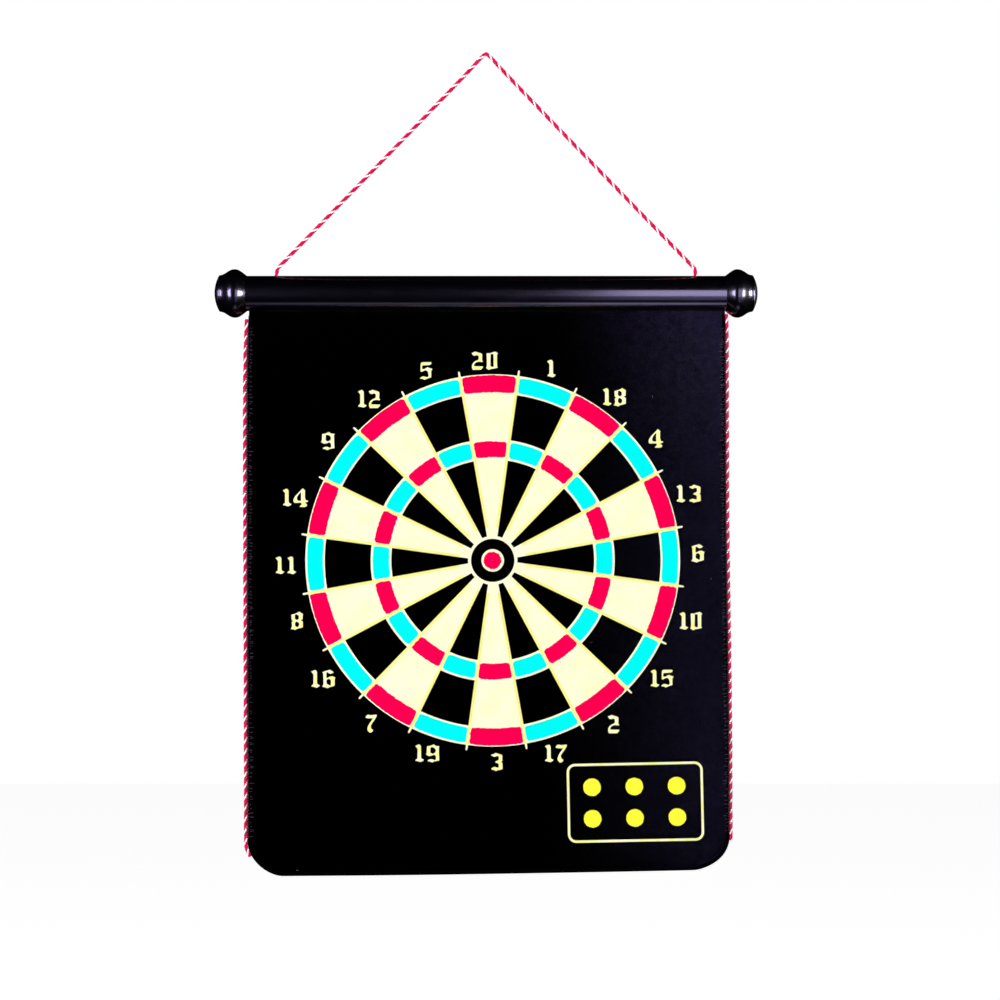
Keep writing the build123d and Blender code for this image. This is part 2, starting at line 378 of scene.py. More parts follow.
def yarn_material(name, colour, dark, painted_glow=0.0):
    """One strand of a laid cord: fine filaments running round it at a slant, from its UV. A strand
    can be given a glow, painted light that keeps its shaded sides as white as its lit middle."""
    material, tree, shader = new_material(
        name, Roughness=0.62, Specular_IOR_Level=0.1, Sheen_Weight=1.0, Sheen_Roughness=0.5,
        Sheen_Tint=(*colour, 1), Emission_Color=(1, 1, 1, 1), Emission_Strength=painted_glow)
    place = add_node(tree, "ShaderNodeTexCoord")
    slant = add_node(tree, "ShaderNodeMapping", Rotation=(0, 0, radians(35)))
    tree.links.new(place.outputs["UV"], slant.inputs["Vector"])
    lines = add_node(tree, "ShaderNodeTexWave", Scale=2.6, Distortion=1.2, Detail=2.0)
    tree.links.new(slant.outputs["Vector"], lines.inputs["Vector"])
    colours = ramp_of(tree, lines.outputs["Fac"], [(0.0, dark), (0.45, colour)])
    tree.links.new(colours.outputs["Color"], shader.inputs["Base Color"])
    fuzz = noise_of(tree, 4000, 2)
    add_bump(tree, shader, [
        (lines.outputs["Fac"], 0.08 * MM, 0.6), (fuzz.outputs["Fac"], 0.05 * MM, 0.3)])
    return material


def tape_material():
    """Ribbed black tape."""
    material, tree, shader = new_material(
        "black_tape", Roughness=0.5, Specular_IOR_Level=0.006)
    ribs = noise_of(tree, 900, 2, stretch=(1, 1, 1.4))
    colours = ramp_of(tree, ribs.outputs["Fac"], [
        (0.3, (0.0, 0.0, 0.0)), (0.8, (0.0008, 0.0006, 0.0010))])
    tree.links.new(colours.outputs["Color"], shader.inputs["Base Color"])
    add_bump(tree, shader, [(ribs.outputs["Fac"], 0.15 * MM, 0.6)])
    return material


def speckled_material(name, dark, light, roughness, scale):
    """A plain uneven surface: rubber, thread or a plastic bead."""
    material, tree, shader = new_material(name, Roughness=roughness)
    specks = noise_of(tree, scale, 5, 0.7)
    colours = ramp_of(tree, specks.outputs["Fac"], [(0.35, dark), (0.7, light)])
    tree.links.new(colours.outputs["Color"], shader.inputs["Base Color"])
    add_bump(tree, shader, [(specks.outputs["Fac"], 0.06 * MM, 0.4)])
    return material


ROD_PLASTIC = plastic_material("rod_plastic", 0.17, 0.06, (0.0003, 0.0002, 0.0007), 1.0, 0.0)
CAP_PLASTIC = plastic_material("cap_plastic", 0.22, 0.06, (0.0003, 0.0002, 0.0006), 0.38, 0.4)
FELT = felt_material("black_felt", grey(0.006), (0.024, 0.023, 0.026))
BACK_FELT = felt_material("back_felt", grey(0.006), (0.024, 0.023, 0.026))
TAPE = tape_material()
YARN_RED = yarn_material("yarn_red", (1.0, 0.0, 0.11), (0.62, 0.0, 0.065))
# The white yarn glows a little: painted light that keeps its shaded sides white.
YARN_WHITE = yarn_material("yarn_white", (1.0, 1.0, 1.0), (0.92, 0.90, 0.92), 0.35)
THREAD = speckled_material("dark_thread", (0.001, 0.001, 0.002), (0.015, 0.018, 0.020), 0.6, 500)
# Dark red thread, partly painted shade: its darkness also stands for the shade beside each trim cord.
RED_THREAD_AND_SHADE = speckled_material("red_thread_and_shade", (0.010, 0.0, 0.001), (0.16, 0.0, 0.016), 0.7, 500)
LINT = speckled_material("lint", (0.08, 0.08, 0.09), (0.3, 0.3, 0.33), 0.8, 900)
RUBBER = speckled_material("magnetic_rubber", (0.012, 0.011, 0.010), (0.035, 0.032, 0.03), 0.6, 500)
BEAD = speckled_material("bead_plastic", (0.55, 0.55, 0.52), (0.7, 0.7, 0.67), 0.4, 200)
INK_CREAM = ink_material("ink_cream", (1.0, 1.0, 0.72), (1.0, 0.99, 0.50))
INK_LINE = ink_material("ink_line", (1.0, 0.91, 0.25), (1.0, 0.98, 0.48))
INK_NUMBER = ink_material("ink_number", (1.0, 1.0, 0.64), (1.0, 0.97, 0.20), 0.3, 130)
INK_RED = ink_material("ink_red", (1.0, 0.0, 0.083), (0.93, 0.0, 0.075))
INK_CYAN = ink_material("ink_cyan", (0.0, 1.0, 0.95), (0.0, 0.93, 0.90))
INK_YELLOW = ink_material("ink_yellow", (1.0, 1.0, 0.05), (0.98, 0.93, 0.04))


def add_hanging_cord():
    left = [Vector((x * MM, 0, z * MM)) for x, z in HALF_ROUTE]
    route = left + [Vector((-p.x, 0, p.z)) for p in reversed(left)]
    line = nurbs_line(route)
    cord = twisted_cord("hanging_cord_strands", line, CORD_DIAMETER, CORD_LAY,
                        [YARN_RED, YARN_RED, YARN_RED, YARN_WHITE], start_turn=1.0)
    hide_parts("hanging_cord")
    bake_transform(cord)


add_hanging_cord()


# ---------------------------------------------------------------- the hung sheet

def share_of(z):
    return (SWING_Z - z) / (SWING_Z - SHEET_BOTTOM)


def eased(value, start, end):
    """0 up to start, 1 from end on, and smooth between them."""
    share = max(0.0, min(1.0, (value - start) / (end - start)))
    return share ** 2 * (3 - 2 * share)


def edge_stray(share, side):
    """How far outwards an edge of the sheet lies from straight."""
    if side < 0:
        return LEFT_STRAY - DRAWN_IN * exp(-share / DRAWN_IN_FADE)
    clear = eased(share, 0.0, CLEAR_OF_CAP)
    return RIGHT_STRAY * clear + RIGHT_SPREAD * eased(share, *SPREAD_BETWEEN)


def hung(x, z):
    """Where a point of the flat sheet goes, in the plane of the board, once it hangs."""
    share = max(0.0, share_of(z))
    lift = x * BOTTOM_SLOPE + BOTTOM_BOW * (x / BOW_REACH) ** 2
    x += SIDE_DRIFT * share
    side = 1 if x > 0 else -1
    x += side * edge_stray(share, side) * eased(abs(x), STRAY_FROM, SHEET_SIDE)
    return x, z + lift * share


def wave(x, z):
    """How far back the hung sheet lies from the flat: slow swells that grow downwards, small
    gathers under the rod's left end, and a corner that curls forward."""
    share = max(0.0, min(1.0, share_of(z)))
    swell_length, slow_length, curl_reach, gather_reach, gather_step = 0.33, 0.61, 0.035, 0.006, 0.0016
    swell = 1.0 * MM * share ** 1.5 * sin(2 * pi * x / swell_length + 0.7)
    slow = 0.7 * MM * share * cos(2 * pi * (x + 0.6 * z) / slow_length)
    from_corner = hypot(x + SHEET_SIDE, z - SHEET_BOTTOM)
    curl = -2.2 * MM * exp(-(from_corner / curl_reach) ** 2)
    from_gather = hypot((x + 0.168) / 1.6, z - SWING_Z + 0.007)
    gather = 0.35 * MM * exp(-(from_gather / gather_reach) ** 2) * sin((x + 0.5 * z) / gather_step)
    return swell + slow + curl + gather


def on_sheet(x, z, depth):
    """A point at this depth in front of the sheet's middle, over a place that already hangs."""
    return Vector((x, wave(x, z) - depth, z))


def side_x(z, side, outer, bottom, radius):
    """Half width of the flat sheet at a height, with a rounded bottom corner."""
    rise = z - bottom
    if rise >= radius:
        return outer
    power = CORNER_POWER[side]
    v = min(1.0, 1 - rise / radius)
    return outer - radius * (1 - (1 - v ** power) ** (1 / power))


def sheet_rows(top, bottom, radius):
    """Heights of a sheet's rows of vertices, close together round the corners."""
    straight = ceil((top - bottom - radius) / (6 * MM))
    rows = [top + (bottom + radius - top) * i / straight for i in range(straight + 1)]
    turns = 16
    return rows + [bottom + radius * (1 - sin(pi / 2 * i / turns)) for i in range(1, turns + 1)]


def closed_grid(columns, rows, front, back, name, material):
    """A thin closed slab: front and back grids of points joined round their edge."""
    vertices = front + back
    half = len(front)
    faces = []
    for j in range(rows - 1):
        for i in range(columns - 1):
            a = j * columns + i
            faces.append((a, a + columns, a + columns + 1, a + 1))
            faces.append((half + a, half + a + 1, half + a + columns + 1, half + a + columns))
    rim = list(range(columns))
    rim += [j * columns + columns - 1 for j in range(1, rows)]
    rim += [(rows - 1) * columns + i for i in range(columns - 2, -1, -1)]
    rim += [j * columns for j in range(rows - 2, 0, -1)]
    for a, b in zip(rim, rim[1:] + rim[:1]):
        faces.append((a, b, half + b, half + a))
    return new_piece(name, vertices, faces, material)


def sheet_layer(name, near, far, material):
    """One layer of the sheet, from depth far, at the back, to depth near, at the front."""
    radius = CORNER_RADIUS - (SHEET_SIDE - FELT_SIDE)
    heights = sheet_rows(SHEET_TOP, FELT_BOTTOM, radius)
    columns = 70
    front, back = [], []
    for z in heights:
        left = -side_x(z, -1, FELT_SIDE, FELT_BOTTOM, radius)
        right = side_x(z, 1, FELT_SIDE, FELT_BOTTOM, radius)
        for i in range(columns):
            place = hung(left + (right - left) * i / (columns - 1), z)
            front.append(on_sheet(*place, near))
            back.append(on_sheet(*place, far))
    piece = closed_grid(columns, len(heights), front, back, name, material)
    piece.data.set_sharp_from_angle(angle=radians(50))
    return piece


def bend_at_rod(piece):
    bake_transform(piece)


def add_felts_and_core():
    for name, node, near, far, material in (
        ("front_felt_skin", "front_felt", FELT_FRONT, CORE_FRONT + 0.01 * MM, FELT),
        ("back_felt_skin", "back_felt", -CORE_FRONT - 0.01 * MM, -FELT_FRONT, BACK_FELT),
    ):
        felt = sheet_layer(name, near, far, material)
        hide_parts(node)
        bend_at_rod(felt)
    core = sheet_layer("magnetic_layer", CORE_FRONT, -CORE_FRONT, RUBBER)
    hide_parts("magnetic_core")
    bend_at_rod(core)


add_felts_and_core()


def edge_path(top):
    """Points round the flat sheet's bound edge, with the unit direction into the sheet: down the
    left side, round the corner, along the bottom, and up the right side."""
    step = 2.5 * MM
    turns = 20
    drop = top - SHEET_BOTTOM - CORNER_RADIUS
    straight = ceil(drop / step)
    flat_side = SHEET_SIDE - CORNER_RADIUS
    halves = []
    for side in (-1, 1):
        half = [((side * SHEET_SIDE, top - drop * i / straight), (-side, 0.0))
                for i in range(straight)]
        power = 2 / CORNER_POWER[side]
        for i in range(turns + 1):
            angle = pi / 2 * i / turns
            c, s = cos(angle) ** power if i < turns else 0.0, sin(angle) ** power
            place = (side * (flat_side + CORNER_RADIUS * c), SHEET_BOTTOM + CORNER_RADIUS * (1 - s))
            half.append((place, (-side * cos(angle), sin(angle))))
        halves.append(half)
    left, right = halves
    across = ceil(2 * flat_side / step)
    bottom = [((2 * flat_side * i / across - flat_side, SHEET_BOTTOM), (0.0, 1.0))
              for i in range(1, across)]
    return left + bottom + right[::-1]


def swept(name, path, profile, material):
    """A closed profile of (inward, depth) points carried along an edge path of the sheet. The
    profile goes from the back of the sheet round its edge to the front."""
    vertices = []
    for (x, z), (nx, nz) in path:
        for inward, depth in reversed(profile):
            vertices.append(on_sheet(*hung(x + nx * inward, z + nz * inward), depth))
    return new_piece(name, vertices, tube_faces(0, len(path), len(profile)), material)


def add_binding():
    outside = BINDING_DEPTH
    inside = FELT_FRONT + 0.02 * MM
    width, fold = 3.0 * MM, 0.5 * MM
    profile = [(width, -inside), (width, -outside + 0.1 * MM), (width - 0.3 * MM, -outside),
               (1.5 * MM, -outside - 0.08 * MM), (fold, -outside)]
    for i in range(1, 6):
        angle = -pi / 2 + pi * i / 6
        profile.append((fold - fold * cos(angle), outside * sin(angle)))
    profile += [(fold, outside), (1.5 * MM, outside + 0.08 * MM), (width - 0.3 * MM, outside),
                (width, outside - 0.1 * MM), (width, inside)]
    gap = SHEET_SIDE - FELT_SIDE + 0.02 * MM
    profile += [(gap, inside), (gap, -inside)]
    binding = swept("edge_tape", edge_path(BOUND_HIGH.z), profile, TAPE)
    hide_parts("edge_binding")
    bend_at_rod(binding)


add_binding()


def edge_line(side, top, turn, outward):
    """Points down one side of the hung sheet, about this far outside its edge, and round part of
    the bottom corner."""
    path = [p for p in edge_path(top) if p[0][0] * side > 0]
    if side > 0:
        path = path[::-1]
    line = []
    for (x, z), (nx, nz) in path:
        if atan2(nz, abs(nx)) <= radians(turn) + 1e-6:
            out = outward + 0.3 * MM * noise.noise(Vector((side, 0, z / (9 * MM))))
            line.append(on_sheet(*hung(x - nx * out, z - nz * out), 0))
    return line


def add_trims():
    diameter = 2.8 * MM
    for name, side, top, turn, apart, lay in (
        ("left", -1, SWING_Z - 4.6 * MM, 31.0, -0.1 * MM, 8.6 * MM),
        ("right", 1, SWING_Z - 0.6 * MM, 12.0, -0.6 * MM, 7.7 * MM),
    ):
        line = edge_line(side, top, turn, diameter / 2 + apart)
        trim = twisted_cord(name + "_trim_strands", line, diameter, lay,
                            [YARN_RED, YARN_RED, YARN_RED, YARN_WHITE], start_turn=2.0)
        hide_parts(name + "_trim_cord")
        bend_at_rod(trim)


add_trims()


def threads(name, loops, radius, materials):
    """Short round threads through their points, as one piece. Each loop is (points, material)."""
    sides = 6
    across = Vector((0, 1, 0.01))
    vertices, faces, slots = [], [], []
    for points, which in loops:
        thread_faces = tube_faces(len(vertices), len(points), sides)
        for i in range(len(points)):
            vertices += ring_of(points, i, across, radius, sides)
        faces += thread_faces
        slots += [which] * len(thread_faces)
    piece = new_piece(name, vertices, faces, materials[0])
    in_several_materials(piece, materials, slots)
    return piece


def stitch(side, z, path, slant):
    """One stitch's points: path holds (distance in from the sheet's edge, height off the tape)."""
    points = []
    for step, (inward, proud) in enumerate(path):
        place = hung(side * (SHEET_SIDE - inward * MM), z - slant * step / len(path))
        points.append(on_sheet(*place, BINDING_DEPTH + proud * MM))
    return points


def add_trim_stitches():
    """The sewing that holds each trim cord: close dark red whipping where it meets the tape, which
    also serves as painted shade along the cord's inner side, and a loose dark overlock further in."""
    rng = random.Random(4)
    for name, side in (("left", -1), ("right", 1)):
        low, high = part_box(name + "_trim_stitches")
        loops = []
        z = high.z
        while z > low.z:
            outer = -rng.uniform(0.3, 1.1)
            path = [(outer, 0.05), (outer + 0.4, 0.36), (0.2, 0.30), (0.8, 0.16),
                    (1.2 + rng.uniform(0, 0.8), -0.3)]
            loops.append((stitch(side, z, path, rng.uniform(0.2, 1.2) * MM), 0))
            z -= rng.uniform(0.7, 1.5) * MM
        z = high.z
        while z > low.z:
            inner = rng.uniform(2.7, 5.2)
            path = [(rng.uniform(1.6, 2.6), -0.2), (2.7, 0.2), (inner - 0.4, 0.12), (inner, -0.45)]
            loops.append((stitch(side, z, path, rng.uniform(-1.4, 1.8) * MM), 1))
            z -= rng.uniform(1.4, 4.2) * MM
        stitches = threads(name + "_stitch_threads", loops, 0.27 * MM, [RED_THREAD_AND_SHADE, THREAD])
        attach(stitches, "sheet")
        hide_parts(name + "_trim_stitches")


add_trim_stitches()


def add_lint():
    """A few stray fibres caught on the felt."""
    rng = random.Random(9)
    loops = []
    for x, z in ((173, -402), (81, -451), (-145, -626), (57, -466), (128, -262)):
        turn = rng.uniform(0, pi)
        size = rng.uniform(0.5, 1.0)
        points = []
        for k in range(5):
            along = (k / 2 - 1) * size
            curl = 0.4 * along * along
            place = (x * MM + (along * cos(turn) - curl * sin(turn)) * MM,
                     z * MM + (along * sin(turn) + curl * cos(turn)) * MM)
            points.append(on_sheet(*place, FELT_FRONT + 0.22 * MM))
        loops.append((points, 0))
    lint = threads("lint", loops, 0.16 * MM, [LINT])
    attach(lint, "sheet")


add_lint()


# ---------------------------------------------------------------- the print

def printed(radius, bearing):
    """A place on the dial: bearing is clockwise from the middle of the 20 sector."""
    angle = bearing - DIAL_TURN
    return (DIAL_CENTRE[0] + radius * sin(angle) * DIAL_STRETCH[0],
            DIAL_CENTRE[1] + radius * cos(angle) * DIAL_STRETCH[1])


def add_ink(name, vertices, faces, material):
    piece = new_piece(name, vertices, faces, material, smooth=False)
    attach(piece, "sheet")


def ink_from_cells(name, grid, cells, depth, material):
    """A thin layer of ink over some cells of a grid of places. grid[row][column] is (x, z): rows go
    outwards if columns go clockwise. cells holds (row, column), and columns wrap if the grid's first
    and last columns are one place."""
    rows, columns = len(grid), len(grid[0])
    wraps = hypot(grid[0][0][0] - grid[0][-1][0], grid[0][0][1] - grid[0][-1][1]) < 1e-7
    used, vertices, faces = {}, [], []

    def vertex(row, column, level):
        column = column % (columns - 1) if wraps else column
        key = (row, column, level)
        if key not in used:
            used[key] = len(vertices)
            vertices.append(on_sheet(*grid[row][column], level))
        return used[key]

    here = set(cells)
    across = columns - 1

    def filled(row, column):
        return (row, column % across if wraps else column) in here

    for row, column in cells:
        corners = [(row, column), (row, column + 1), (row + 1, column + 1), (row + 1, column)]
        faces.append([vertex(*c, depth) for c in corners])
        faces.append([vertex(*c, INK_BASE) for c in reversed(corners)])
        next_to = [(row - 1, column), (row, column + 1), (row + 1, column), (row, column - 1)]
        for k, neighbour in enumerate(next_to):
            if not filled(*neighbour):
                a, b = corners[k], corners[(k + 1) % 4]
                faces.append([vertex(*b, depth), vertex(*a, depth),
                              vertex(*a, INK_BASE), vertex(*b, INK_BASE)])
    add_ink(name, vertices, faces, material)


def steps_between(low, high, longest):
    """Values from low up to, but not including, high."""
    count = max(1, ceil((high - low) / longest))
    return [low + (high - low) * i / count for i in range(count)]


def dial_grid(radii):
    """A polar grid whose columns keep the width of the lines between sectors, and what each of
    its columns belongs to: a line, or the sector after it."""
    half = LINE_WIDTH / 2
    columns, owners = [], []
    inside = 7
    for sector in range(20):
        border = (sector - 0.5) * SECTOR
        columns += [(border, -half, 0.0), (border, 0.0, 0.0)]
        owners += ["line", "line"]
        for k in range(inside):
            columns.append((border, half, k / inside))
            owners.append(sector)
    columns.append((19.5 * SECTOR, -half, 0.0))
    grid = []
    for radius in radii:
        row = []
        for border, offset, share in columns:
            lean = asin(min(0.99, half / radius))
            bearing = border + (lean if offset > 0 else -lean if offset < 0 else 0.0)
            bearing += share * (SECTOR - 2 * lean)
            row.append(printed(radius, bearing))
        grid.append(row)
    return grid, owners


def add_cream():
    """Everything printed in cream under the dial: rings, lines, ticks and every other sector."""
    radii = [OUTER_BULL[0]]
    radii += steps_between(OUTER_BULL[1], TREBLE[0], 7 * MM)
    radii += steps_between(TREBLE[0], TREBLE[1], 6 * MM)
    radii += steps_between(TREBLE[1], DOUBLE[0], 7 * MM)
    radii += steps_between(DOUBLE[0], DOUBLE[1], 6 * MM)
    radii += [DOUBLE[1]]
    grid, owners = dial_grid(radii)
    cells, lines = [], []
    for row, (inner, outer) in enumerate(zip(radii, radii[1:])):
        middle = (inner + outer) / 2
        ring = (middle < OUTER_BULL[1] or TREBLE[0] < middle < TREBLE[1]
                or DOUBLE[0] < middle < DOUBLE[1])
        for column, owner in enumerate(owners):
            cream_sector = owner != "line" and owner % 2 == 0 and middle < DOUBLE[1]
            if ring or owner == "line" or cream_sector:
                cells.append((row, column))
            if owner == "line" and OUTER_BULL[1] + 4 * MM < middle < DOUBLE[1]:
                lines.append((row, column))
    ink_from_cells("dial_cream", grid, cells, CREAM_DEPTH, INK_CREAM)
    ink_from_cells("dial_lines", grid, lines, LINE_DEPTH, INK_LINE)
    ticks = []
    for sector in range(20):
        bearing = (sector - 0.5) * SECTOR
        for radius, share in (
            (DOUBLE[1] - 0.3 * MM, 1.25), (TICK_END - 0.6 * MM, 1.0), (TICK_END, 0.5),
        ):
            lean = TICK_WIDTH / 2 * share / radius
            ticks.append([printed(radius, bearing - lean), printed(radius, bearing + lean)])
    cells = [(3 * sector + k, 0) for sector in range(20) for k in range(2)]
    ink_from_cells("dial_ticks", ticks, cells, CREAM_DEPTH, INK_CREAM)


def ragged(x, z, size):
    """A small irregular shift of an ink edge."""
    return size * noise.noise(Vector((x / (1.7 * MM), z / (1.7 * MM), 3.1)))


def add_disc(name, centre, radius, depth, material, wobble=0.0):
    """A printed dot with a slightly uneven edge."""
    around, rings = 72, 4
    grid = []
    for k in range(rings + 1):
        row = []
        for i in range(around + 1):
            angle = 2 * pi * i / around
            right, up = sin(angle), cos(angle)
            edge = radius + ragged(centre[0] + radius * right, centre[1] + radius * up, wobble)
            r = edge * (0.02 + 0.98 * k / rings)
            row.append((centre[0] + r * right, centre[1] + r * up))
        grid.append(row)
    cells = [(k, i) for k in range(rings) for i in range(around)]
    ink_from_cells(name, grid, cells, depth, material)


def ring_segment(sector, inner, outer, side_gap, wobble, corner):
    """Grid of one coloured segment: inside its lines, with ragged edges and rounded corners."""
    along, deep = 40, 8
    middle = sector * SECTOR
    centre_radius = (inner + outer) / 2
    grid = []
    for j in range(deep + 1):
        row = []
        v = 2 * j / deep - 1
        for i in range(along + 1):
            u = 2 * i / along - 1
            pull = corner * (abs(u * v)) ** 9
            radius = centre_radius + v * ((outer - inner) / 2 - pull)
            lean = asin(min(0.99, (side_gap + pull) / radius))
            bearing = middle + u * (SECTOR / 2 - lean)
            x, z = printed(radius, bearing)
            if abs(v) == 1:
                radius += ragged(x, z, wobble)
            if abs(u) == 1:
                bearing += ragged(x, z, wobble) / radius
            row.append(printed(radius, bearing))
        grid.append(row)
    return grid


def add_coloured_segments():
    """Trebles and doubles: red on the cream sectors, light blue on the black ones. Margins are of
    the cream ring left inside and outside the colour."""
    for colour, material, first, slot, wobble, treble_margins, double_margins in (
        ("red", INK_RED, 0, "ink_red", 0.55 * MM, (1.9 * MM, 1.7 * MM), (0.9 * MM, 0.8 * MM)),
        ("blue", INK_CYAN, 1, "ink_cyan", 0.30 * MM, (1.7 * MM, 1.7 * MM), (1.4 * MM, 1.5 * MM)),
    ):
        for ring, (inner, outer), margins in (
            ("trebles", TREBLE, treble_margins), ("doubles", DOUBLE, double_margins),
        ):
            rows, cells = [], []
            for sector in range(first, 20, 2):
                grid = ring_segment(sector, inner + margins[0], outer - margins[1], 1.35 * MM,
                                    wobble, 0.6 * MM)
                for j in range(len(grid) - 1):
                    cells += [(len(rows) + j, i) for i in range(len(grid[0]) - 1)]
                rows += grid
            ink_from_cells(f"{ring}_{colour}", rows, cells, COLOUR_DEPTH, material)


def add_bull():
    add_disc("bull_cream", DIAL_CENTRE, BULL_DISC_RADIUS, CREAM_DEPTH, INK_CREAM)
    centre = (DIAL_CENTRE[0] - 0.2 * MM, DIAL_CENTRE[1] - 0.1 * MM)
    add_disc("bull_red", centre, BULL_RADIUS, COLOUR_DEPTH, INK_RED, 0.8 * MM)


add_cream()
add_coloured_segments()
add_bull()

